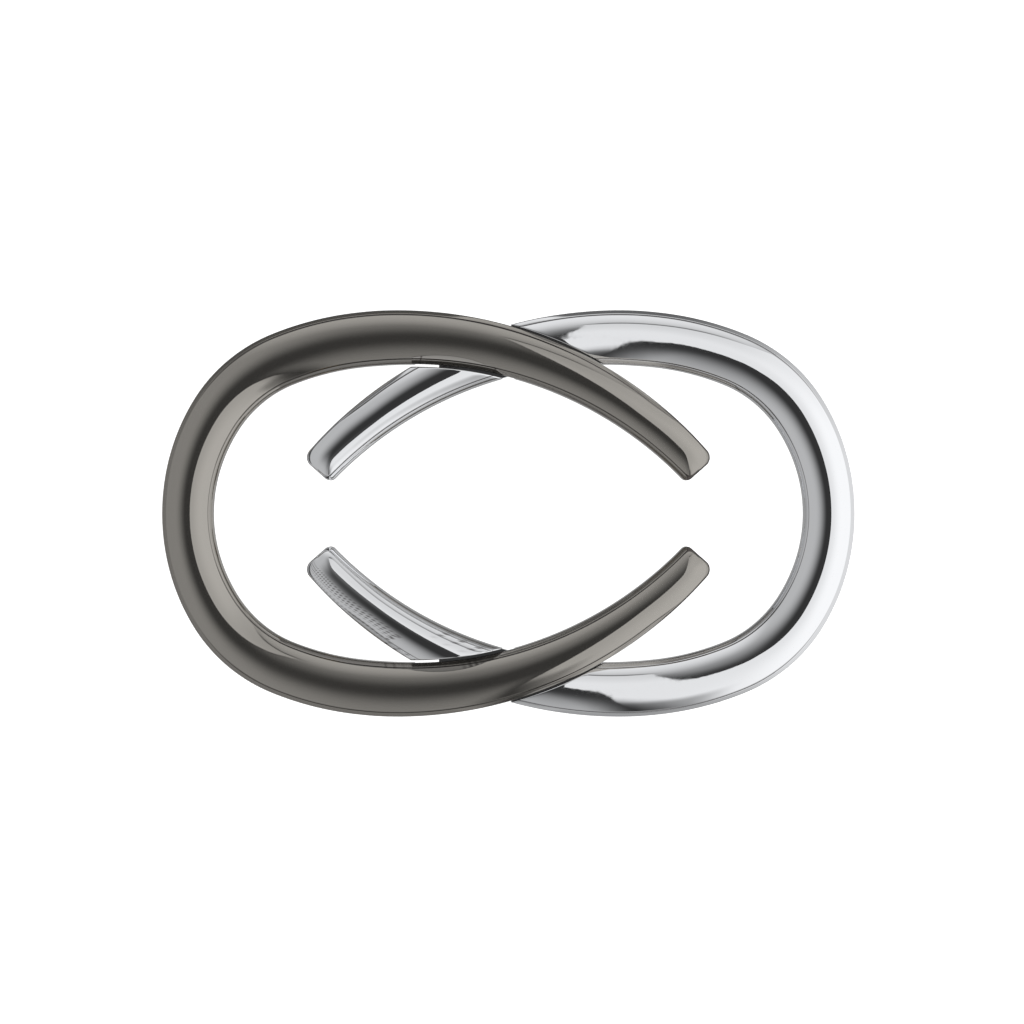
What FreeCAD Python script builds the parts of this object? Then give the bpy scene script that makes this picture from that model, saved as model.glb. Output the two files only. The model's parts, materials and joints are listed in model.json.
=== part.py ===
import FreeCAD, Part
import math
import os

# Interlocked open-link ornament: two domed metal links that cross twice and are half-lapped where
# they cross. It lies on its back: the backs of both links are the plane z = 0, the front faces +Z,
# the gunmetal link's closed end points to -X and the chrome link's to +X.

# Plan of one link, from the middle of its closed end to the tip of an arm (mm, degrees).
overall_length = 72.0
band_bow = 5.3              # band width at the closed end
band_crown = 5.65           # widest, along the top of the arm
band_tip = 3.8              # at the tip
widens_by = 16.0            # the bow has grown to the crown's width this far along
tapers_from = 30.3          # and the taper to the tip starts here
taper_power = 1.2
spine_arcs = (              # radius, turn: bow, shoulder, crown, arm
    (19.3, 32.3),
    (14.5, 35.8),
    (30.3, 15.1),
    (41.2, 55.2),
)

# Heights above the flat back.
crest_bow = 3.0
climb_slope = 0.07          # the crest climbs evenly from the bow
climb_from = 14.0
climb_blend = 6.0           # easing in over this length
bends_from = 42.0           # from here it arches over the crossing and down to the tip
bend_rate = 0.008           # change of slope per mm

# Section of the band: flat back, upright sides, a narrow rounded rim and a domed top.
rim_outer = 0.45            # rim width on the outside of the loop
rim_inner = 0.50            # and on the inside
rim_drop = 0.45             # the rim slopes down this far to the band's edge
dome_rise = 0.146           # dome height over band width; its section is a parabola
end_roll = 0.7              # radius that the top rolls down with at each tip

# Half lap at the two crossings.
neck_height = 2.2           # chrome link left under the gunmetal one
lap_outer_gap = 0.14        # groove outside the arm that lies over
lap_inner_gap = 0.32        # and inside it
neck_corner = 7.2           # past this distance from the middle the neck is cut away
lap_reach = 11.5            # the lap is over before this distance from the middle

# M2 x 4 countersunk lap screws, from the back.
lap_screw_r = 1.0
lap_head_r = 1.9
lap_head_height = 1.2
lap_screw_length = 3.6
lap_screw_inset = 0.1       # the head sits this far inside the back

# Shouldered studs pressed into the backs, and the M2.5 nut and washer that clamp on each.
stud_along = 12.5           # distance along the arm from the middle of the closed end
stud_root_r = 2.05          # the pressed-in root, wider than the shoulder that shows
stud_root_height = 1.4
stud_r = 1.85
stud_length = 2.2           # the panel's thickness
thread_r = 1.25             # M2.5
thread_length = 3.0
washer_bore_r = 1.35
washer_r = 2.5
washer_thickness = 0.5
nut_flats = 5.0
nut_height = 2.0
nut_bore_r = 1.3
nut_chamfer_r = 2.4         # where the chamfer meets the outer face

below_back = -1.0           # the band is lofted down to here and cut off flat at the back
UP = FreeCAD.Vector(0, 0, 1)
MIRROR_NORMAL = FreeCAD.Vector(1, 0, 0)


def smooth(value, low, high):
    """0 before low, 1 after high, and an S-curve between."""
    t = min(max((value - low) / (high - low), 0.0), 1.0)
    return t * t * (3.0 - 2.0 * t)


def arc_length(radius, turn):
    return radius * math.radians(turn)


arm_length = sum(arc_length(radius, turn) for radius, turn in spine_arcs)


def spine(along):
    """Place and heading on the upper arm's centre line, `along` mm from the closed end."""
    x = -(overall_length - band_bow) / 2
    y = 0.0
    heading = math.pi / 2
    left = along
    for radius, turn in spine_arcs:
        length = arc_length(radius, turn)
        if (radius, turn) != spine_arcs[-1]:
            length = min(left, length)
        else:
            length = left
        after = heading - length / radius
        x += radius * (math.sin(heading) - math.sin(after))
        y += radius * (math.cos(after) - math.cos(heading))
        heading = after
        left -= length
        if left <= 0:
            break
    return x, y, heading


def band_width(along):
    if along < tapers_from:
        return band_bow + (band_crown - band_bow) * smooth(along, 0.0, widens_by)
    t = (along - tapers_from) / (arm_length - tapers_from)
    return band_crown + (band_tip - band_crown) * t ** taper_power


def crest_height(along):
    t = min(max((along - climb_from) / climb_blend + 0.5, 0.0), 1.0)
    climbed = max(along - climb_from - climb_blend / 2, 0.0) + climb_blend * t * t / 2
    bent = max(along - bends_from, 0.0)
    return crest_bow + climb_slope * climbed - bend_rate * bent ** 2 / 2


def place(along, lower, u, z):
    """A point u mm outside the centre line and z above the back, on the upper or lower arm."""
    x, y, heading = spine(along)
    x -= u * math.sin(heading)
    y += u * math.cos(heading)
    return FreeCAD.Vector(x, -y if lower else y, z)


def section(along, lower, roll=0.0):
    """Closed wire of the band's section. roll lowers and narrows it, at the tips only."""
    width = band_width(along)
    half = width / 2 - 0.5 * roll
    rim_z = crest_height(along) - dome_rise * width - roll
    inner = -half + rim_inner
    outer = half - rim_outer
    dome = []
    for step in range(13):
        across = math.cos(math.pi * (1 - step / 12))
        rise = dome_rise * width * (1 - across * across)
        dome.append(((inner + outer) / 2 + (outer - inner) / 2 * across, rim_z + rise))
    edge_z = rim_z - rim_drop
    shoulder = 0.45
    corners = [(outer, rim_z), (half - shoulder * rim_outer, rim_z - 0.3 * rim_drop),
               (half, edge_z), (half, below_back), (-half, below_back), (-half, edge_z),
               (-half + shoulder * rim_inner, rim_z - 0.3 * rim_drop), (inner, rim_z)]
    curve = Part.BSplineCurve()
    curve.interpolate([place(along, lower, u, z) for u, z in dome])
    edges = [curve.toShape()]
    for start, end in zip(corners, corners[1:]):
        edges.append(Part.makeLine(place(along, lower, *start), place(along, lower, *end)))
    return Part.Wire(edges)


def link():
    """The whole band, tip to tip, lofted through its sections."""
    steps = 26
    body_end = arm_length - end_roll
    stations = [body_end * step / steps for step in range(steps + 1)]
    arm = [(along, 0.0) for along in stations]
    for step in range(1, 5):
        angle = math.radians(step * 20)
        arm.append((body_end + end_roll * math.sin(angle), end_roll * (1 - math.cos(angle))))
    wires = [section(along, True, roll) for along, roll in reversed(arm)]
    wires += [section(along, False, roll) for along, roll in arm[1:]]
    band = Part.makeLoft(wires, True, False)
    size = 2 * overall_length
    waste = Part.makeBox(size, size, 2.0, FreeCAD.Vector(-size / 2, -size / 2, -2.0))
    return band.cut(waste)


def along_to(x):
    """How far along the arm its centre line passes x, by halving."""
    low, high = 0.0, arm_length
    for _ in range(40):
        middle = (low + high) / 2
        if spine(middle)[0] < x:
            low = middle
        else:
            high = middle
    return low


def arm_prism(lower, z_low, z_high):
    """The arm's plan across the lap, widened by the gaps, as a prism with round sides."""
    stations = [along_to(x) for x in (-lap_reach - 2, 0, lap_reach + 2)]
    sides = []
    for side, gap in ((1, lap_outer_gap), (-1, lap_inner_gap)):
        offsets = [side * (band_width(s) / 2 + gap) for s in stations]
        sides.append([place(s, lower, u, z_low) for s, u in zip(stations, offsets)])
    outline = Part.Wire([
        Part.Arc(*sides[0]).toShape(),
        Part.makeLine(sides[0][2], sides[1][2]),
        Part.Arc(*reversed(sides[1])).toShape(),
        Part.makeLine(sides[1][0], sides[0][0]),
    ])
    return Part.Face(outline).extrude(UP * (z_high - z_low))


def other(shape):
    return shape.mirror(FreeCAD.Vector(0, 0, 0), MIRROR_NORMAL)


def cylinder(radius, z_low, z_high, x=0.0, y=0.0):
    return Part.makeCylinder(radius, z_high - z_low, FreeCAD.Vector(x, y, z_low))


def cross_recess(width, length, depth, z_bottom):
    """A Phillips-style cross sunk into a head that faces down."""
    bar = Part.makeBox(length, width, depth, FreeCAD.Vector(-length / 2, -width / 2, z_bottom))
    return bar.fuse(bar.rotated(FreeCAD.Vector(0, 0, 0), UP, 90))


def lap_screw():
    head = Part.makeCone(lap_head_r, lap_screw_r, lap_head_height - 0.2,
                         FreeCAD.Vector(0, 0, lap_screw_inset + 0.2))
    rim = cylinder(lap_head_r, lap_screw_inset, lap_screw_inset + 0.2)
    shank = cylinder(lap_screw_r, lap_screw_inset + lap_head_height,
                     lap_screw_inset + lap_screw_length)
    solid = head.fuse([rim, shank]).removeSplitter()
    return solid.cut(cross_recess(0.5, 2.2, 0.8, lap_screw_inset))


def lap_hole():
    """The countersunk hole that the lap screw fills, a little deeper than the screw."""
    countersink = cylinder(lap_head_r, -0.1, lap_screw_inset + 0.2)
    cone = Part.makeCone(lap_head_r, lap_screw_r, lap_head_height - 0.2,
                         FreeCAD.Vector(0, 0, lap_screw_inset + 0.2))
    hole = cylinder(lap_screw_r, 0.0, lap_screw_inset + lap_screw_length + 0.2)
    return countersink.fuse([cone, hole])


def stud():
    root = cylinder(stud_root_r, 0.0, stud_root_height)
    shoulder = cylinder(stud_r, -stud_length, 0.0)
    end = -stud_length - thread_length
    thread = cylinder(thread_r, end, -stud_length)
    thread = thread.makeChamfer(0.25, [e for e in thread.Edges if e.BoundBox.ZMax < end + 0.1])
    return root.fuse([shoulder, thread])


def washer():
    z_low = -stud_length - washer_thickness
    ring = cylinder(washer_r, z_low, -stud_length)
    return ring.cut(cylinder(washer_bore_r, z_low, -stud_length))


def nut(turn):
    """Hexagon nut with two corners on the line that lies `turn` degrees from +X."""
    seat = -stud_length - washer_thickness
    z_low = seat - nut_height
    corner_r = nut_flats / math.sqrt(3)
    angles = [math.radians(turn + 60 * k) for k in range(7)]
    outline = Part.makePolygon([
        FreeCAD.Vector(corner_r * math.cos(a), corner_r * math.sin(a), z_low) for a in angles])
    body = Part.Face(outline).extrude(UP * nut_height)
    chamfer = Part.makeCone(nut_chamfer_r, nut_chamfer_r + 2 * nut_height, nut_height,
                            FreeCAD.Vector(0, 0, z_low))
    return body.common(chamfer).cut(cylinder(nut_bore_r, z_low, seat))


def save(name, shape):
    shape.exportStep("parts/" + name + ".step")


os.makedirs("parts", exist_ok=True)

lap_y = spine(along_to(0.0))[1]
stud_x, stud_y, stud_heading = spine(stud_along)

dark = link()
bright = other(link())
top = crest_height(along_to(0.0)) + 1.0
corner = Part.makeBox(10.0, 2 * overall_length, top + 2, FreeCAD.Vector(
    -neck_corner - 10.0, -overall_length, -1.0))
for lower in (False, True):
    over = arm_prism(lower, neck_height, top)
    bright = bright.cut(over)
    bright = bright.cut(arm_prism(lower, -1.0, neck_height + 1.0).common(corner))
    dark = dark.cut(other(arm_prism(lower, -1.0, neck_height)))

corners = (("left_upper", -1, 1), ("left_lower", -1, -1),
           ("right_upper", 1, 1), ("right_lower", 1, -1))
for name, side_x, side_y in corners:
    at = FreeCAD.Vector(-side_x * stud_x, side_y * stud_y, 0)
    pocket = cylinder(stud_root_r, -0.1, stud_root_height + 0.05, at.x, at.y)
    if side_x < 0:
        dark = dark.cut(pocket)
    else:
        bright = bright.cut(pocket)
    save("stud_" + name, stud().translated(at))
    save("washer_" + name, washer().translated(at))
    turn = -side_x * side_y * math.degrees(stud_heading)
    save("nut_" + name, nut(turn).translated(at))

for name, side_y in (("upper", 1), ("lower", -1)):
    at = FreeCAD.Vector(0, side_y * lap_y, 0)
    hole = lap_hole().translated(at)
    dark = dark.cut(hole)
    bright = bright.cut(hole)
    save("lap_screw_" + name, lap_screw().translated(at))

save("gunmetal_link", dark)
save("chrome_link", bright)
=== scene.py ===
"""Looks of the interlocked open-link ornament: two polished links and the fittings behind them."""
import json
import math

import bmesh
import bpy
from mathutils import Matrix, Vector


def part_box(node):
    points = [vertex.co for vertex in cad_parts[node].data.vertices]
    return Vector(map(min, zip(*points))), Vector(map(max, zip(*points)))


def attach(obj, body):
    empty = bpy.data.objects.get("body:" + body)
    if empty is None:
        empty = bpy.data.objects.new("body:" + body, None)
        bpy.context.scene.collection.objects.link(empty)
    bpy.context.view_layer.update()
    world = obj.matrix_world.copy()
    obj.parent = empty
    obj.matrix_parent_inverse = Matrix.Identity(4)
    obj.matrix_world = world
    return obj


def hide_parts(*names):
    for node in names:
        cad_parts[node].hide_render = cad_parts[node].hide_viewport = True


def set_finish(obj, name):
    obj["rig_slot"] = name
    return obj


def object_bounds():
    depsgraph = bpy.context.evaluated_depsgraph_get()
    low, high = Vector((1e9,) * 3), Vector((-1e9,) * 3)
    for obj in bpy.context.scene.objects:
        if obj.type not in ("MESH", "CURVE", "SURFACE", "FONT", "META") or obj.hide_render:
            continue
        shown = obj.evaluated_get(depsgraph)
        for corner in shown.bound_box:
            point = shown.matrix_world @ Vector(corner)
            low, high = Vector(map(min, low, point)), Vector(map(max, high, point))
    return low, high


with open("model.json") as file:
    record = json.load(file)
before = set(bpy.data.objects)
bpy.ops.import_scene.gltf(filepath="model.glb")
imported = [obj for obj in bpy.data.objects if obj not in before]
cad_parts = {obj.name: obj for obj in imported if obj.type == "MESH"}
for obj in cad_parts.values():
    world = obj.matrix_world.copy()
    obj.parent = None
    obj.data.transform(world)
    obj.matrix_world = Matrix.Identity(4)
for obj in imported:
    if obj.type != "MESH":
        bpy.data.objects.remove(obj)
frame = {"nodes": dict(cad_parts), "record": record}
cad_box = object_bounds()

MM = 0.001

# Driving sizes in mm. The links' plan and heights repeat the design's; the rest is finish.
LENGTH = -2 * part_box("gunmetal_link")[0][0] / MM
BAND_BOW = 5.3
BAND_CROWN = 5.65
BAND_TIP = 3.8
WIDENS_BY = 16.0
TAPERS_FROM = 30.3
TAPER_POWER = 1.2
SPINE_ARCS = ((19.3, 32.3), (14.5, 35.8), (30.3, 15.1), (41.2, 55.2))   # radius, turn in degrees
CREST_BOW = 3.0
CLIMB_SLOPE = 0.07
CLIMB_FROM = 14.0
CLIMB_BLEND = 6.0
BENDS_FROM = 42.0
BEND_RATE = 0.008
RIM_OUTER = 0.45
RIM_INNER = 0.50
RIM_DROP = 0.45
DOME_RISE = 0.146
NECK_HEIGHT = 2.2
LAP_OUTER = 0.14
LAP_INNER = 0.32
NECK_CORNER = 7.2

TIP_CORNER = 1.05           # rounding of an arm's tip in plan, outside
TIP_HEEL = 0.65             # and inside
TIP_RIM = 0.14              # rim across the tip
TIP_NOSE = 3.0              # length over which the dome rolls down at the tip
NOSE_POWER = 2.4            # how square the nose is in plan, outside
HEEL_POWER = 6.0            # and inside
NOSE_EASE = 1.7             # how softly the nose begins
EDGE_LINE_FROM = 9.0        # a dark line of painted shade lies along the outer edge over the last of the arm
EDGE_LINE_FULL = 6.0
RIM_ROUND = 0.08            # rounding of the rim's outer edge
RIM_BULGE = 0.15            # share of the rim's fall that is curved
CREASE = 0.05               # the line between rim and dome lies this far below them
CREASE_WIDTH = 0.07         # on each side of the line
NARROWS_FROM = 9.0          # the outer rim narrows over this stretch before the tip
NARROWS_TO = 4.0
TIP_OUTER = 0.16            # to this width
RIM_FLATTER = 0.45          # the outer rim falls this much less beside the crossing
FLATTER_OVER = (36.0, 41.0, 52.0, 57.0)     # along the arm: begins, full, full, ends
CUT_ROUND = 0.16            # rounded edge where the chrome link is cut for the other one
BACK_ROUND = 0.12           # bevel round the flat back

# Fittings behind the links.
LAP_HEAD_R = 1.9
LAP_HEAD_HEIGHT = 1.2
LAP_HEAD_RIM = 0.2
LAP_SHANK_R = 1.0
LAP_LENGTH = 3.6
LAP_INSET = 0.1
LAP_SPARE = 0.2             # the hole goes this much deeper
STUD_ROOT_R = 2.05
STUD_ROOT_HEIGHT = 1.4
STUD_R = 1.85
STUD_LENGTH = 2.2
STUD_ALONG = 12.5           # distance along the arm
THREAD_R = 1.25
THREAD_DEPTH = 0.26
THREAD_PITCH = 0.45
THREAD_FLANK = 1.25         # the valleys are flat over a fifth of the pitch
THREAD_LENGTH = 3.0
THREAD_END = 0.12           # the end is this much thinner than the valleys
THREAD_STEPS = 84
WASHER_BORE_R = 1.35
WASHER_R = 2.5
WASHER_THICKNESS = 0.5
NUT_FLATS = 5.0
NUT_HEIGHT = 2.0
NUT_BORE_R = 1.3
NUT_CHAMFER_R = 2.4
NUT_LEAD = 0.16             # chamfer of the bore
EDGE = 0.08                 # broken edges of the turned parts
TOOL_LOW = -0.5             # holes in the back are cut from here
POCKET_SPARE = 0.05         # the pocket is this much deeper than the stud's root
POCKET_START = 0.021        # turned a little, so that its corners miss the band's mesh points

ARM = sum(radius * math.radians(turn) for radius, turn in SPINE_ARCS)
ARM_RADIUS = SPINE_ARCS[-1][0]
DOME_STEPS = 36             # of the mesh across the dome
STRAIGHT_TO = 24.0          # rows of the mesh are square to the arm up to here
STRAIGHT_FROM = 61.5        # and again from here
NECK_LET_IN = 0.5           # the neck reaches this far into the bow and the tongue
NECK_LOW = 0.02             # its underside stays this far above the flat back
HALVINGS = 44


def smooth(value, low, high):
    """0 at low, 1 at high, and an S-curve between; low may be the larger."""
    t = min(max((value - low) / (high - low), 0.0), 1.0)
    return t * t * (3.0 - 2.0 * t)


def last_before(low, high, is_before):
    """The last value that is_before holds for, by halving."""
    for _ in range(HALVINGS):
        middle = (low + high) / 2
        if is_before(middle):
            low = middle
        else:
            high = middle
    return low


def spine(along):
    """Place and heading on the upper arm's centre line."""
    x, y, heading, left = -(LENGTH - BAND_BOW) / 2, 0.0, math.pi / 2, along
    for radius, turn in SPINE_ARCS:
        last = radius == ARM_RADIUS
        length = left if last else min(left, radius * math.radians(turn))
        after = heading - length / radius
        x += radius * (math.sin(heading) - math.sin(after))
        y += radius * (math.cos(after) - math.cos(heading))
        heading, left = after, left - length
        if left <= 0:
            break
    return x, y, heading


def band_width(along):
    """Widest at the crown, narrowest at the tip."""
    if along < TAPERS_FROM:
        return BAND_BOW + (BAND_CROWN - BAND_BOW) * smooth(along, 0.0, WIDENS_BY)
    t = (along - TAPERS_FROM) / (ARM - TAPERS_FROM)
    return BAND_CROWN + (BAND_TIP - BAND_CROWN) * t ** TAPER_POWER


def crest_height(along):
    """The crest climbs evenly from the bow, then arches down to the tip."""
    t = min(max((along - CLIMB_FROM) / CLIMB_BLEND + 0.5, 0.0), 1.0)
    climbed = max(along - CLIMB_FROM - CLIMB_BLEND / 2, 0.0) + CLIMB_BLEND * t * t / 2
    bent = max(along - BENDS_FROM, 0.0)
    return CREST_BOW + CLIMB_SLOPE * climbed - BEND_RATE * bent ** 2 / 2


def plan(along, u):
    """Plan place u mm outside the upper arm's centre line."""
    x, y, heading = spine(along)
    return x - u * math.sin(heading), y + u * math.cos(heading)


# The last arc's centre, from which a place on the arm is read back.
TIP_X, TIP_Y, TIP_HEADING = spine(ARM)
ARM_CENTRE = (TIP_X + ARM_RADIUS * math.sin(TIP_HEADING),
              TIP_Y - ARM_RADIUS * math.cos(TIP_HEADING))


def on_arm(x, y):
    """(distance along, distance outside the centre line) of a place beside the last arc."""
    dx, dy = x - ARM_CENTRE[0], y - ARM_CENTRE[1]
    heading = math.atan2(dy, dx) - math.pi / 2
    return ARM + (TIP_HEADING - heading) * ARM_RADIUS, math.hypot(dx, dy) - ARM_RADIUS


# ---- columns: lines that run along the band ------------------------------------------------

def rim_columns(width):
    """Distances from the edge to the crease: round the edge, across the rim, and down."""
    lip = [RIM_ROUND * (1 - math.sin(math.radians(a))) for a in (90, 60, 30, 0)]
    flat = [RIM_ROUND + (width - RIM_ROUND) * t
            for t in (0.2, 0.4, 0.58, 0.7, 0.78, 0.86, 0.93, 1.0)]
    return lip + flat


def column_list():
    """(zone, place in it) of each line from the inner edge to the outer one."""
    inner = [("inner", d) for d in rim_columns(RIM_INNER)]
    dome = [("dome", math.pi * (1 - k / DOME_STEPS)) for k in range(1, DOME_STEPS)]
    outer = [("outer", d) for d in reversed(rim_columns(RIM_OUTER))]
    return inner + dome + outer


COLUMNS = column_list()


def rim_outer(along):
    """Width of the outer rim, which narrows before the tip."""
    return RIM_OUTER + (TIP_OUTER - RIM_OUTER) * smooth(along, ARM - NARROWS_FROM, ARM - NARROWS_TO)


def dome_span(along):
    """(middle, half width) of the dome across the band."""
    half = band_width(along) / 2
    outer = rim_outer(along)
    return (RIM_INNER - outer) / 2, half - (RIM_INNER + outer) / 2


def lateral(column, along):
    """How far outside the centre line a column runs."""
    kind, value = column
    half = band_width(along) / 2
    if kind == "inner":
        return -half + value
    if kind == "outer":
        return half - value * rim_outer(along) / RIM_OUTER
    middle, reach = dome_span(along)
    return middle + reach * math.cos(value)


# ---- where the other link crosses ----------------------------------------------------------

def from_other(along, u, side):
    """Distance outside the other link's centre line, and where the cut on that side of it is."""
    x, y = plan(along, u)
    other_along, other_u = on_arm(-x, y)
    gap = LAP_OUTER if side > 0 else LAP_INNER
    return other_u, band_width(min(max(other_along, 0.0), ARM)) / 2 + gap


def crossing(column, side, margin=0.0):
    """Where along the arm a column meets the cut beside the other link: side 1 first, then -1."""
    def is_before(along):
        other_u, edge = from_other(along, lateral(column, along), side)
        return other_u > side * (edge + margin)
    return last_before(STRAIGHT_TO, STRAIGHT_FROM, is_before)


# ---- heights -------------------------------------------------------------------------------

def round_off(distance, radius):
    """Drop of a quarter-round edge at a distance inside it."""
    if distance >= radius:
        return 0.0
    return radius - math.sqrt(max(radius ** 2 - (radius - max(distance, 0.0)) ** 2, 0.0))


def crease_strength(along, u):
    """The crease fades out on the outside of the bow, and before the tip."""
    if u < 0:
        return 0.6 + 0.4 * smooth(along, 2.0, 14.0)
    return smooth(along, 7.0, 17.0) * smooth(along, ARM - 4.0, ARM - 7.0)


def beside_crossing(along, u):
    """1 on the outer rim where the other link meets it, where the rim lies flatter."""
    if u < 0:
        return 0.0
    return smooth(along, *FLATTER_OVER[:2]) * smooth(along, FLATTER_OVER[3], FLATTER_OVER[2])


def top_height(along, u, to_tip):
    """(height, share of painted shade in the crease and along the edge) of the top at a place on
    the band.
    """
    width = band_width(along)
    half = width / 2
    rim_z = crest_height(along) - DOME_RISE * width
    middle, reach = dome_span(along)
    across = abs(u - middle) / reach
    rolled = (1 - min(max((to_tip - TIP_RIM) / TIP_NOSE, -0.2), 1.0)) ** NOSE_EASE
    power = HEEL_POWER + (NOSE_POWER - HEEL_POWER) * smooth(u, -0.5, 0.5)
    size = (across ** power + rolled ** power) ** (1 / power)
    crease = crease_strength(along, u)
    depth = CREASE * crease
    if size < 1.0:
        # This share shapes the crease's dip and also paints shade: the base colour darkens along
        # the crease.
        groove = smooth((1 - size) * reach, CREASE_WIDTH, 0.0) * crease
        return rim_z + DOME_RISE * width * (1 - size * size) - depth * groove, groove
    side, rim, corner = half + u, RIM_INNER, TIP_HEEL
    if u > 0:
        side, rim, corner = half - u, rim_outer(along), TIP_CORNER
    edge = min(side, to_tip)
    if side < corner and to_tip < corner:
        edge = corner - math.hypot(corner - side, corner - to_tip)
    if to_tip < side:
        rim = TIP_RIM
    part = min(max(edge / rim, 0.0), 1.0)
    drop = RIM_DROP * (1 - RIM_FLATTER * beside_crossing(along, u))
    slope = drop * rim / RIM_OUTER * (1 - part) * (1 - RIM_BULGE * part)
    # The same on the rim side of the crease: its dip and its painted shade.
    groove = smooth(part, 1 - CREASE_WIDTH / rim, 1.0) * crease
    top = rim_z - slope - round_off(edge, RIM_ROUND) - depth * groove
    # Painted shade: a dark line is painted along the outer edge and across the tip near the end of
    # the arm.
    if u > 0 or to_tip < side:
        shown = smooth(along, ARM - EDGE_LINE_FROM, ARM - EDGE_LINE_FULL)
        groove = max(groove, smooth(edge, 0.20, 0.10) * shown)
    return top, groove


# ---- the slab builder ----------------------------------------------------------------------

class Slab:
    """A closed solid under a domed top, from rows that each cross the band."""

    def __init__(self):
        self.mesh = bmesh.new()
        # Per-vertex share of painted shade in the creases and along the edge; the material darkens
        # by it.
        self.groove = self.mesh.verts.layers.float.new("groove")
        self.rows = []

    def row(self, points, lower=False):
        """points: (along, u, top, bottom, share of painted shade) for each column."""
        tops, bottoms, mids = [], [], []
        for number, (along, u, top, bottom, groove) in enumerate(points):
            x, y = plan(along, u)
            if lower:
                y = -y
            tops.append(self.mesh.verts.new((x * MM, y * MM, top * MM)))
            tops[-1][self.groove] = groove
            bottoms.append(self.mesh.verts.new((x * MM, y * MM, bottom * MM)))
            if number in (0, len(points) - 1):
                middle = NECK_HEIGHT if top > NECK_HEIGHT + 0.1 else 0.6 * top
                middle = max(middle, bottom)
                mids.append(self.mesh.verts.new((x * MM, y * MM, middle * MM)))
        self.rows.append((tops, bottoms, mids))

    def finish(self, name, mirror):
        """Skin the rows, close both ends, and make the object. mirror turns it over in x."""
        loops = [tops + [mids[1]] + bottoms[::-1] + [mids[0]] for tops, bottoms, mids in self.rows]
        for first, second in zip(loops, loops[1:]):
            for k in range(len(first)):
                after = (k + 1) % len(first)
                self.mesh.faces.new((first[k], first[after], second[after], second[k]))
        for tops, bottoms, mids in (self.rows[0], self.rows[-1]):
            last = len(tops) - 1
            for k in range(last):
                face = [tops[k], tops[k + 1], bottoms[k + 1], bottoms[k]]
                if k == 0:
                    face.append(mids[0])
                if k == last - 1:
                    face.insert(2, mids[1])
                self.mesh.faces.new(face)
        bmesh.ops.remove_doubles(self.mesh, verts=self.mesh.verts, dist=2e-7)
        if mirror:
            for vert in self.mesh.verts:
                vert.co.x = -vert.co.x
        bmesh.ops.recalc_face_normals(self.mesh, faces=self.mesh.faces)
        for face in self.mesh.faces:
            face.smooth = True
        data = bpy.data.meshes.new(name)
        self.mesh.to_mesh(data)
        self.mesh.free()
        piece = bpy.data.objects.new(name, data)
        bpy.context.scene.collection.objects.link(piece)
        return piece


def even(count):
    """Steps from 0 to 1."""
    return [k / count for k in range(count + 1)]


def eased(count):
    """Steps that crowd towards 1."""
    return [math.sin(math.pi / 2 * k / count) for k in range(count + 1)]


def arm_lines():
    """The lines across the arm between which rows are spread, each one place per column."""
    def steady(place):
        return [place] * len(COLUMNS)

    return {
        "bow": steady(0.0),
        "straight_to": steady(STRAIGHT_TO),
        "cut_1_round": [crossing(c, 1, CUT_ROUND) for c in COLUMNS],
        "cut_1": [crossing(c, 1) for c in COLUMNS],
        "cut_2": [crossing(c, -1) for c in COLUMNS],
        "cut_2_round": [crossing(c, -1, CUT_ROUND) for c in COLUMNS],
        "straight_from": steady(STRAIGHT_FROM),
        "nose": steady(ARM - TIP_RIM - TIP_NOSE),
        "tip_corner": steady(ARM - TIP_CORNER),
        "tip": steady(ARM),
    }


LINES = arm_lines()


def stretch(first, second, steps):
    """Rows of places along the band between two lines."""
    rows = []
    for t in steps:
        rows.append([a + (b - a) * t for a, b in zip(LINES[first], LINES[second])])
    return rows


def back_height(along, u, to_tip, relief):
    """The flat back and its bevel, or the relief that clears the other link."""
    if relief > 0.0:
        return relief
    edge = min(band_width(along) / 2 - abs(u), to_tip)
    return max(BACK_ROUND - edge, 0.0)


def places(alongs, cut=0, relief=0.0):
    """One row's places. cut: 1 or -1 rounds the top edge at that cut."""
    row = []
    for column, along in zip(COLUMNS, alongs):
        to_tip = ARM - along
        u = lateral(column, along)
        half = band_width(along) / 2
        u *= (half - round_off(to_tip, TIP_CORNER if u > 0 else TIP_HEEL)) / half
        top, groove = top_height(along, u, to_tip)
        if cut:
            other_u, edge = from_other(along, u, cut)
            top -= round_off(cut * other_u - edge, CUT_ROUND)
        row.append((along, u, top, back_height(along, u, to_tip, relief), groove))
    return row


def tip_rows():
    """From the end of the crossing to the tip, finest at the rounded corners."""
    rows = stretch("straight_from", "nose", even(12))
    rows += stretch("nose", "tip_corner", even(14))[1:]
    rows += stretch("tip_corner", "tip", eased(22))[1:]
    return rows


def whole_link(name):
    """The link that lies over: one band, relieved from below where it crosses."""
    arm = [places(r) for r in stretch("bow", "straight_to", even(60))]
    arm += [places(r) for r in stretch("straight_to", "cut_1", even(36))[1:]]
    arm += [places(r, relief=NECK_HEIGHT) for r in stretch("cut_1", "cut_2", even(30))]
    arm += [places(r) for r in stretch("cut_2", "straight_from", even(30))]
    arm += [places(r) for r in tip_rows()[1:]]
    slab = Slab()
    for row in reversed(arm[1:]):
        slab.row(row, lower=True)
    for row in arm:
        slab.row(row)
    return slab.finish(name, mirror=False)


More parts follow.
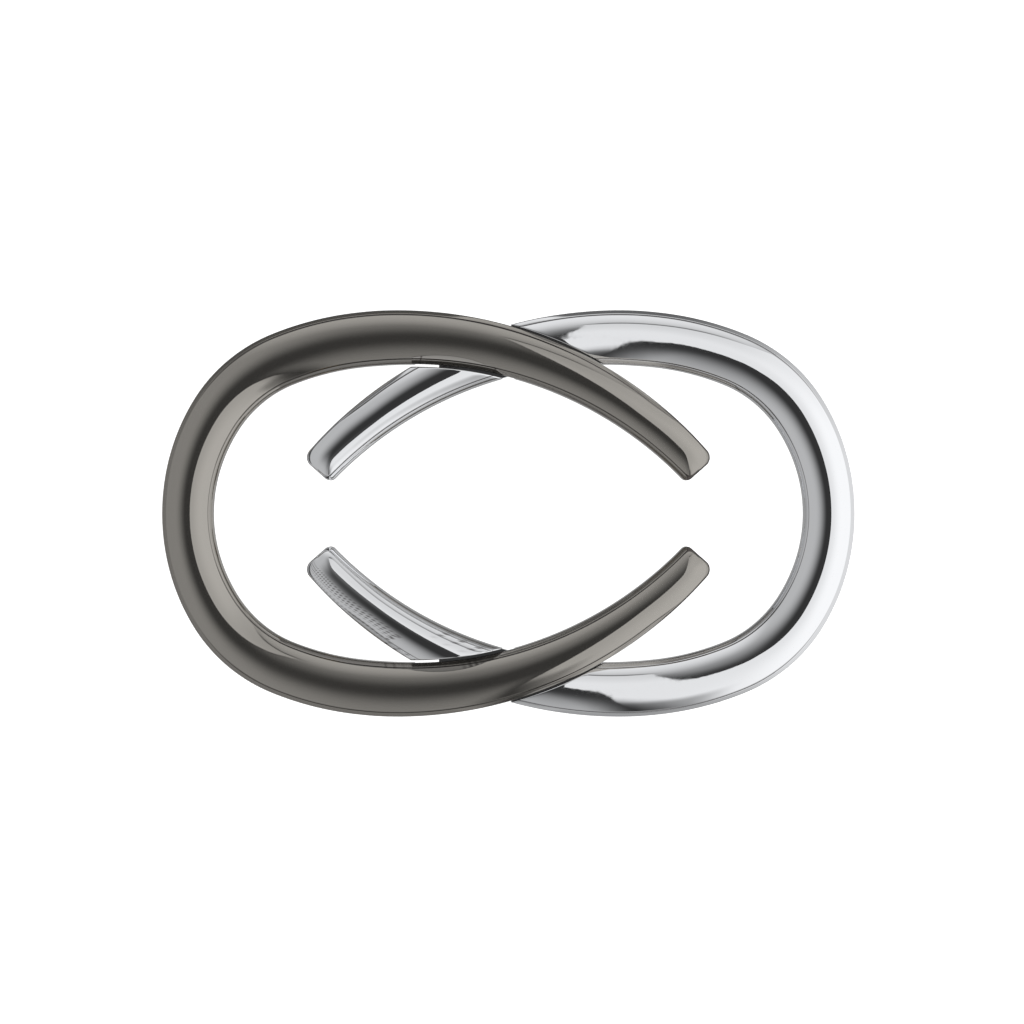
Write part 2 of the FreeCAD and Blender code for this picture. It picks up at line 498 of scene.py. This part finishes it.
def cut_link(name):
    """The link that lies under: a bow, two tongues past the crossings, and a low neck between."""
    arm = [places(r, 1) for r in stretch("bow", "straight_to", even(60))]
    arm += [places(r, 1) for r in stretch("straight_to", "cut_1_round", even(36))[1:]]
    arm += [places(r, 1) for r in stretch("cut_1_round", "cut_1", eased(8))[1:]]
    bow = Slab()
    for row in reversed(arm[1:]):
        bow.row(row, lower=True)
    for row in arm:
        bow.row(row)
    parts = [bow.finish(name, mirror=True)]
    tongue = [places(r, -1) for r in reversed(stretch("cut_2_round", "cut_2", eased(8))[1:])]
    tongue += [places(r, -1) for r in stretch("cut_2_round", "straight_from", even(30))]
    tongue += [places(r) for r in tip_rows()[1:]]
    for lower in (False, True):
        slab = Slab()
        for row in tongue:
            slab.row(row, lower)
        parts.append(slab.finish(name + "_tongue", mirror=True))
        slab = Slab()
        for t in even(12):
            slab.row(neck_row(t), lower)
        parts.append(slab.finish(name + "_neck", mirror=True))
    return parts


def neck_row(t):
    """The low neck under the other link, let a little way into the bow and the tongue."""
    row = []
    for column, first, last in zip(COLUMNS[3:-3], LINES["cut_1"][3:-3], LINES["cut_2"][3:-3]):
        def inside_corner(along):
            return plan(along, lateral(column, along))[0] < NECK_CORNER

        start = first - NECK_LET_IN
        end = last + NECK_LET_IN
        if not inside_corner(last):
            end = last_before(first, last, inside_corner)
        along = start + (end - start) * t
        row.append((along, lateral(column, along), NECK_HEIGHT, NECK_LOW, 0.0))
    return row


def join(target, tool, operation):
    """Apply a boolean to target and drop the tool."""
    modifier = target.modifiers.new(operation, "BOOLEAN")
    modifier.operation = operation
    modifier.solver = "EXACT"
    modifier.object = tool
    shape = target.evaluated_get(bpy.context.evaluated_depsgraph_get())
    data = bpy.data.meshes.new_from_object(shape)
    target.modifiers.clear()
    target.data = data
    bpy.data.objects.remove(tool)


# ---- turned parts --------------------------------------------------------------------------

def turned(name, at, profile, start=0.0, sides=72, ring=False):
    """A solid turned round a vertical axis. profile(angle) lists (radius, z) from end to end.

    An open profile starts and ends on the axis; a ring's profile closes on itself.
    """
    mesh = bmesh.new()
    lines = []
    for k in range(sides):
        angle = start + 2 * math.pi * k / sides
        lines.append([mesh.verts.new(((at[0] + r * math.cos(angle)) * MM,
                                      (at[1] + r * math.sin(angle)) * MM, z * MM))
                      for r, z in profile(angle)])
    count = len(lines[0])
    for k, line in enumerate(lines):
        after = lines[(k + 1) % sides]
        for j in range(count if ring else count - 1):
            n = (j + 1) % count
            mesh.faces.new((line[j], after[j], after[n], line[n]))
    bmesh.ops.remove_doubles(mesh, verts=mesh.verts, dist=5e-8)
    bmesh.ops.recalc_face_normals(mesh, faces=mesh.faces)
    for face in mesh.faces:
        face.smooth = True
    data = bpy.data.meshes.new(name)
    mesh.to_mesh(data)
    mesh.free()
    data.set_sharp_from_angle(angle=math.radians(35))
    piece = bpy.data.objects.new(name, data)
    bpy.context.scene.collection.objects.link(piece)
    return piece


def stud_profile(angle):
    """Root, shoulder, and a single-start V thread to the end."""
    end = -STUD_LENGTH - THREAD_LENGTH
    points = [(0.0, STUD_ROOT_HEIGHT), (STUD_ROOT_R - EDGE, STUD_ROOT_HEIGHT),
              (STUD_ROOT_R, STUD_ROOT_HEIGHT - EDGE), (STUD_ROOT_R, 0.0), (STUD_R, 0.0),
              (STUD_R, -STUD_LENGTH + EDGE), (STUD_R - EDGE, -STUD_LENGTH)]
    for t in even(THREAD_STEPS):
        z = -STUD_LENGTH - THREAD_LENGTH * t
        turn = (z / THREAD_PITCH + angle / (2 * math.pi)) % 1.0
        radius = THREAD_R - THREAD_DEPTH * min(abs(2 * turn - 1) * THREAD_FLANK, 1.0)
        chamfer = THREAD_R - THREAD_DEPTH - THREAD_END + (z - end)
        points.append((min(radius, chamfer), z))
    points.append((0.0, end))
    return points


def washer_profile(_):
    """Flat ring with broken edges."""
    low, high = -STUD_LENGTH - WASHER_THICKNESS, -STUD_LENGTH
    return [(WASHER_BORE_R, low + EDGE), (WASHER_BORE_R + EDGE, low), (WASHER_R - EDGE, low),
            (WASHER_R, low + EDGE), (WASHER_R, high - EDGE), (WASHER_R - EDGE, high),
            (WASHER_BORE_R + EDGE, high), (WASHER_BORE_R, high - EDGE)]


def nut_profile(turn):
    """Hexagon section with a corner at angle `turn`, chamfered at both faces."""
    high = -STUD_LENGTH - WASHER_THICKNESS
    low = high - NUT_HEIGHT

    def profile(angle):
        from_flat = (angle - turn) % (math.pi / 3) - math.pi / 6
        outer = NUT_FLATS / 2 / math.cos(from_flat)
        drop = max(outer - NUT_CHAMFER_R, 0.0) / 2
        return [(NUT_BORE_R, low + NUT_LEAD), (NUT_BORE_R + NUT_LEAD, low), (NUT_CHAMFER_R, low),
                (outer, low + drop), (outer, high - drop), (NUT_CHAMFER_R, high),
                (NUT_BORE_R + NUT_LEAD, high), (NUT_BORE_R, high - NUT_LEAD)]
    return profile


def lap_hole_profile(_):
    """The countersunk hole under a lap screw, a little deeper than the screw."""
    cone = LAP_INSET + LAP_HEAD_RIM
    shank = LAP_INSET + LAP_HEAD_HEIGHT
    end = LAP_INSET + LAP_LENGTH + LAP_SPARE
    return [(0.0, TOOL_LOW), (LAP_HEAD_R, TOOL_LOW), (LAP_HEAD_R, cone), (LAP_SHANK_R, shank),
            (LAP_SHANK_R, end), (0.0, end)]


def pocket_profile(_):
    """The blind hole that a stud's root is pressed into."""
    high = STUD_ROOT_HEIGHT + POCKET_SPARE
    return [(0.0, TOOL_LOW), (STUD_ROOT_R, TOOL_LOW), (STUD_ROOT_R, high), (0.0, high)]


def centre(node):
    """The plan place of a CAD node's middle, in mm."""
    low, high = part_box(node)
    return (low.x + high.x) / 2 / MM, (low.y + high.y) / 2 / MM


# ---- build ---------------------------------------------------------------------------------

def shade_flat_back(band):
    """The back is flat and has no painted crease shade, whatever the booleans left on it."""
    facing_down = -0.99
    near_back = 0.5 * MM
    band.data.set_sharp_from_angle(angle=math.radians(38))
    for face in band.data.polygons:
        if face.normal.z < facing_down:
            face.use_smooth = False
    for vert, groove in zip(band.data.vertices, band.data.attributes["groove"].data):
        if vert.co.z < near_back:
            groove.value = 0.0


def build_links():
    """Both bands with their holes, as [gunmetal, chrome]."""
    gunmetal = whole_link("gunmetal_band")
    chrome, *rest = cut_link("chrome_band")
    for part in rest:
        join(chrome, part, "UNION")
    for side in ("upper", "lower"):
        for band in (gunmetal, chrome):
            join(band, turned("hole", centre("lap_screw_" + side), lap_hole_profile), "DIFFERENCE")
    for corner in CORNERS:
        band = gunmetal if corner.startswith("left") else chrome
        pocket = turned("pocket", centre("stud_" + corner), pocket_profile, POCKET_START)
        join(band, pocket, "DIFFERENCE")
    shade_flat_back(gunmetal)
    shade_flat_back(chrome)
    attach(gunmetal, "ornament")
    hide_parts("gunmetal_link")
    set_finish(gunmetal, "gunmetal")
    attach(chrome, "ornament")
    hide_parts("chrome_link")
    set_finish(chrome, "chrome")
    return [gunmetal, chrome]


def build_fittings():
    """Stud, washer and nut at each corner. A nut's corners lie along the band."""
    fittings = []
    for corner in CORNERS:
        at = centre("stud_" + corner)
        heading = spine(STUD_ALONG)[2]
        turn = heading if at[0] * at[1] < 0 else -heading
        for kind, profile, body, slot in (
                ("stud", stud_profile, "ornament", "brass"),
                ("washer", washer_profile, "fixing_" + corner, "washer_steel"),
                ("nut", nut_profile(turn), "fixing_" + corner, "screw_steel")):
            piece = turned(kind + "_shown_" + corner, at, profile, turn, ring=kind != "stud")
            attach(piece, body)
            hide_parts(kind + "_" + corner)
            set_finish(piece, slot)
            fittings.append(piece)
    return fittings


CORNERS = ("left_upper", "left_lower", "right_upper", "right_lower")
pieces = build_links() + build_fittings()


# ---- materials -----------------------------------------------------------------------------

WAVE_SCALE = 420.0          # per metre
WAVE_STRENGTH = 0.3
WAVE_HEIGHT = 0.01 * MM
GRAIN_SCALE = 2400.0
GRAIN_RANGE = (0.35, 0.75)          # of the noise, spread over the roughness
ROUGHNESS_SPREAD = (0.7, 1.6)       # times the finish's own roughness


def metal(name, colour, roughness, metallic=1.0, painted_shade=None):
    """A slow polishing wave, fine grain in the roughness, and painted shade that darkens the crease
    and edge lines.
    """
    material = bpy.data.materials.new(name)
    material.use_nodes = True
    nodes, links = material.node_tree.nodes, material.node_tree.links
    shader = nodes["Principled BSDF"]
    shader.inputs["Metallic"].default_value = metallic
    shader.inputs["Base Color"].default_value = (*colour, 1.0)
    place = nodes.new("ShaderNodeTexCoord")
    slow = nodes.new("ShaderNodeTexNoise")
    slow.inputs["Scale"].default_value = WAVE_SCALE
    slow.inputs["Detail"].default_value = 2.0
    links.new(place.outputs["Object"], slow.inputs["Vector"])
    bump = nodes.new("ShaderNodeBump")
    bump.inputs["Strength"].default_value = WAVE_STRENGTH
    bump.inputs["Distance"].default_value = WAVE_HEIGHT
    links.new(slow.outputs["Fac"], bump.inputs["Height"])
    links.new(bump.outputs["Normal"], shader.inputs["Normal"])
    fine = nodes.new("ShaderNodeTexNoise")
    fine.inputs["Scale"].default_value = GRAIN_SCALE
    fine.inputs["Detail"].default_value = 6.0
    links.new(place.outputs["Object"], fine.inputs["Vector"])
    spread = nodes.new("ShaderNodeMapRange")
    spread.inputs["From Min"].default_value = GRAIN_RANGE[0]
    spread.inputs["From Max"].default_value = GRAIN_RANGE[1]
    spread.inputs["To Min"].default_value = roughness * ROUGHNESS_SPREAD[0]
    spread.inputs["To Max"].default_value = roughness * ROUGHNESS_SPREAD[1]
    links.new(fine.outputs["Fac"], spread.inputs["Value"])
    links.new(spread.outputs["Result"], shader.inputs["Roughness"])
    # Painted shade: the base colour mixes towards a dark colour by the per-vertex crease and edge
    # mask.
    if painted_shade is not None:
        groove = nodes.new("ShaderNodeAttribute")
        groove.attribute_name = "groove"
        mix = nodes.new("ShaderNodeMix")
        mix.data_type = "RGBA"
        mix.inputs[6].default_value = (*colour, 1.0)
        mix.inputs[7].default_value = (*painted_shade, 1.0)
        links.new(groove.outputs["Fac"], mix.inputs[0])
        links.new(mix.outputs[2], shader.inputs["Base Color"])
    return material


FINISH = {
    # The dark second colour of each plated band is painted shade for its crease and edge lines.
    "gunmetal": metal("gunmetal_plate", (0.39, 0.372, 0.344), 0.05, metallic=0.93,
                      painted_shade=(0.09, 0.08, 0.075)),
    "chrome": metal("chrome_plate", (0.90, 0.91, 0.93), 0.03, painted_shade=(0.14, 0.13, 0.13)),
    "brass": metal("turned_brass", (0.72, 0.53, 0.25), 0.22),
    "screw_steel": metal("zinc_plated_steel", (0.62, 0.63, 0.65), 0.25),
    "washer_steel": metal("pressed_steel", (0.66, 0.66, 0.67), 0.30),
}
for piece in pieces:
    piece.data.materials.clear()
    piece.data.materials.append(FINISH[piece["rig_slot"]])
for entry in frame["record"]["subparts"]:
    if entry["node"].startswith("lap_screw"):
        node = frame["nodes"][entry["node"]]
        if not node.material_slots:
            node.data.materials.append(None)
        for slot in node.material_slots:
            slot.material = FINISH[entry["material_slot"]]


# ---- studio --------------------------------------------------------------------------------

PANEL_EDGE = 0.155          # the panel begins this far aside, over the height of the direction
PANEL_SOFT = 0.004
HORIZON_FROM = 0.05         # below this height only the lower half of the studio is seen
HORIZON_TO = 0.28


class Sums:
    """Sums of world light, written as shader nodes."""

    def __init__(self, tree):
        self.nodes = tree.nodes
        self.links = tree.links

    def maths(self, operation, *values):
        node = self.nodes.new("ShaderNodeMath")
        node.operation = operation
        for socket, value in zip(node.inputs, values):
            if isinstance(value, float):
                socket.default_value = value
            else:
                self.links.new(value, socket)
        return node.outputs["Value"]

    def plus(self, a, b):
        return self.maths("ADD", a, b)

    def minus(self, a, b):
        return self.maths("SUBTRACT", a, b)

    def times(self, a, *others):
        for other in others:
            a = self.maths("MULTIPLY", a, other)
        return a

    def mix(self, share, first, second):
        return self.plus(self.times(self.minus(1.0, share), first), self.times(share, second))

    def ease(self, value, low, high, at_low, at_high):
        """An S-curve from at_low, where value is low, to at_high."""
        node = self.nodes.new("ShaderNodeMapRange")
        node.interpolation_type = "SMOOTHSTEP"
        for key, number in (("From Min", low), ("From Max", high),
                            ("To Min", at_low), ("To Max", at_high)):
            node.inputs[key].default_value = number
        self.links.new(value, node.inputs["Value"])
        return node.outputs["Result"]


def room_light(sums, x, y):
    """Dark overhead, paler all round, dark beside the panel, and brightest far up the picture."""
    flat_y = sums.times(sums.plus(y, 0.07), 0.70)
    away = sums.maths("POWER", sums.plus(sums.times(x, x), sums.times(flat_y, flat_y)), 0.5)
    far_up = sums.ease(y, 0.55, 0.75, 0.0, 1.0)
    beside_panel = sums.times(sums.ease(x, 0.02, 0.16, 0.0, 1.0), sums.minus(1.0, far_up))
    room = sums.mix(beside_panel, sums.ease(away, 0.14, 0.76, 0.035, 0.50), 0.035)
    return sums.plus(room, sums.ease(y, 0.6, 0.95, 0.0, 0.34))


def panel_place(sums, x, y, z):
    """1 on the panel: past its slanting near edge and below its far end."""
    height = sums.maths("MAXIMUM", z, 0.02)
    downward = sums.maths("MAXIMUM", sums.minus(0.0, sums.maths("DIVIDE", y, height)), 0.0)
    slant = sums.times(sums.maths("POWER", downward, 2.0), 0.05)
    slant = sums.minus(slant, sums.ease(y, -0.06, 0.5, 0.0, 0.042))
    past_edge = sums.ease(sums.minus(sums.maths("DIVIDE", x, height), slant),
                          PANEL_EDGE - PANEL_SOFT, PANEL_EDGE + PANEL_SOFT, 0.0, 1.0)
    return sums.times(past_edge, sums.ease(y, 0.715, 0.725, 1.0, 0.0))


def panel_light(sums, x, y):
    """Brighter to the side, fading up the picture and at its near lower corner."""
    light = sums.times(sums.ease(x, 0.2, 0.75, 0.84, 1.04), sums.ease(y, 0.3, 0.7, 1.0, 0.85))
    corner = sums.ease(sums.plus(x, sums.times(y, 0.4)), -0.22, 0.0, 0.08, 1.0)
    facing_away = sums.times(sums.ease(y, -0.80, -0.62, 0.55, 0.0),
                             sums.ease(x, 0.3, 0.45, 1.0, 0.0))
    return sums.times(light, corner, sums.minus(1.0, facing_away))


def gap_beyond_panel(sums, x, y):
    """A thin dark gap past the far end of the panel."""
    ribbon = sums.times(sums.ease(y, 0.705, 0.73, 0.0, 1.0), sums.ease(y, 0.73, 0.77, 1.0, 0.0))
    reach = sums.times(sums.ease(x, 0.05, 0.12, 0.0, 0.7), sums.ease(x, 0.3, 0.5, 1.0, 0.0))
    return sums.minus(1.0, sums.times(reach, ribbon))


def world_light():
    """A studio seen only in reflections. The camera itself sees plain white."""
    world = bpy.data.worlds.new("studio")
    bpy.context.scene.world = world
    world.use_nodes = True
    nodes = world.node_tree.nodes
    links = world.node_tree.links
    place = nodes.new("ShaderNodeTexCoord")
    split = nodes.new("ShaderNodeSeparateXYZ")
    links.new(place.outputs["Generated"], split.inputs["Vector"])
    x, y, z = (split.outputs[axis] for axis in "XYZ")

    sums = Sums(world.node_tree)
    above = sums.mix(panel_place(sums, x, y, z), room_light(sums, x, y), panel_light(sums, x, y))
    above = sums.times(above, gap_beyond_panel(sums, x, y))
    below = sums.minus(sums.ease(x, 0.2, 0.8, 0.35, 0.77), sums.ease(y, 0.2, 0.8, 0.0, 0.22))
    light = sums.mix(sums.ease(z, HORIZON_FROM, HORIZON_TO, 1.0, 0.0), above, below)

    mirrored = nodes["Background"]
    mirrored.inputs["Color"].default_value = (1.0, 1.0, 1.0, 1.0)
    links.new(light, mirrored.inputs["Strength"])
    plain = nodes.new("ShaderNodeBackground")
    plain.inputs["Color"].default_value = (1.0, 1.0, 1.0, 1.0)
    path = nodes.new("ShaderNodeLightPath")
    choose = nodes.new("ShaderNodeMixShader")
    links.new(path.outputs["Is Camera Ray"], choose.inputs["Fac"])
    links.new(mirrored.outputs["Background"], choose.inputs[1])
    links.new(plain.outputs["Background"], choose.inputs[2])
    links.new(choose.outputs["Shader"], nodes["World Output"].inputs["Surface"])


def floor():
    """Pale ground below the reach of the nuts. The metal doesn't mirror it."""
    low = cad_box[0][2] - 3 * MM
    reach = 3.0
    data = bpy.data.meshes.new("floor")
    data.from_pydata([(-reach, -reach, low), (reach, -reach, low), (reach, reach, low),
                      (-reach, reach, low)], [], [(0, 1, 2, 3)])
    ground = bpy.data.objects.new("floor", data)
    bpy.context.scene.collection.objects.link(ground)
    paint = bpy.data.materials.new("pale_floor")
    paint.use_nodes = True
    shader = paint.node_tree.nodes["Principled BSDF"]
    shader.inputs["Base Color"].default_value = (0.92, 0.92, 0.92, 1.0)
    shader.inputs["Emission Color"].default_value = (1.0, 1.0, 1.0, 1.0)
    shader.inputs["Emission Strength"].default_value = 0.75
    shader.inputs["Roughness"].default_value = 0.8
    shader.inputs["Specular IOR Level"].default_value = 0.1
    data.materials.append(paint)
    ground.visible_glossy = False


def floor_light():
    """Soft light for the floor only: the metal doesn't mirror it."""
    lamp = bpy.data.lights.new("floor_light", "SUN")
    lamp.energy = 0.8
    lamp.angle = math.radians(100)
    holder = bpy.data.objects.new("floor_light", lamp)
    holder.rotation_euler = (math.radians(8), math.radians(-10), 0)
    holder.visible_glossy = False
    bpy.context.scene.collection.objects.link(holder)


# ---- camera --------------------------------------------------------------------------------

CAMERA_HEIGHT = 450.0       # above the back; far enough away to be nearly flat
CAMERA_OFFSET = (0.38, 0.15)
OUTLINE_HEIGHT = 1.7        # the widest outline lies about this far above the back
SHARE_OF_WIDTH = 0.67637    # of the picture that the object's length takes


def camera():
    """Straight down on the front."""
    lens = bpy.data.cameras.new("camera")
    lens.sensor_width = 36.0
    seen = LENGTH / SHARE_OF_WIDTH
    lens.lens = lens.sensor_width * (CAMERA_HEIGHT - OUTLINE_HEIGHT) / seen
    lens.clip_start = 0.01
    lens.clip_end = 10.0
    eye = bpy.data.objects.new("camera", lens)
    eye.location = [value * MM for value in (*CAMERA_OFFSET, CAMERA_HEIGHT)]
    bpy.context.scene.collection.objects.link(eye)
    bpy.context.scene.camera = eye


world_light()
floor()
floor_light()
camera()
bpy.context.scene.view_settings.view_transform = "Standard"
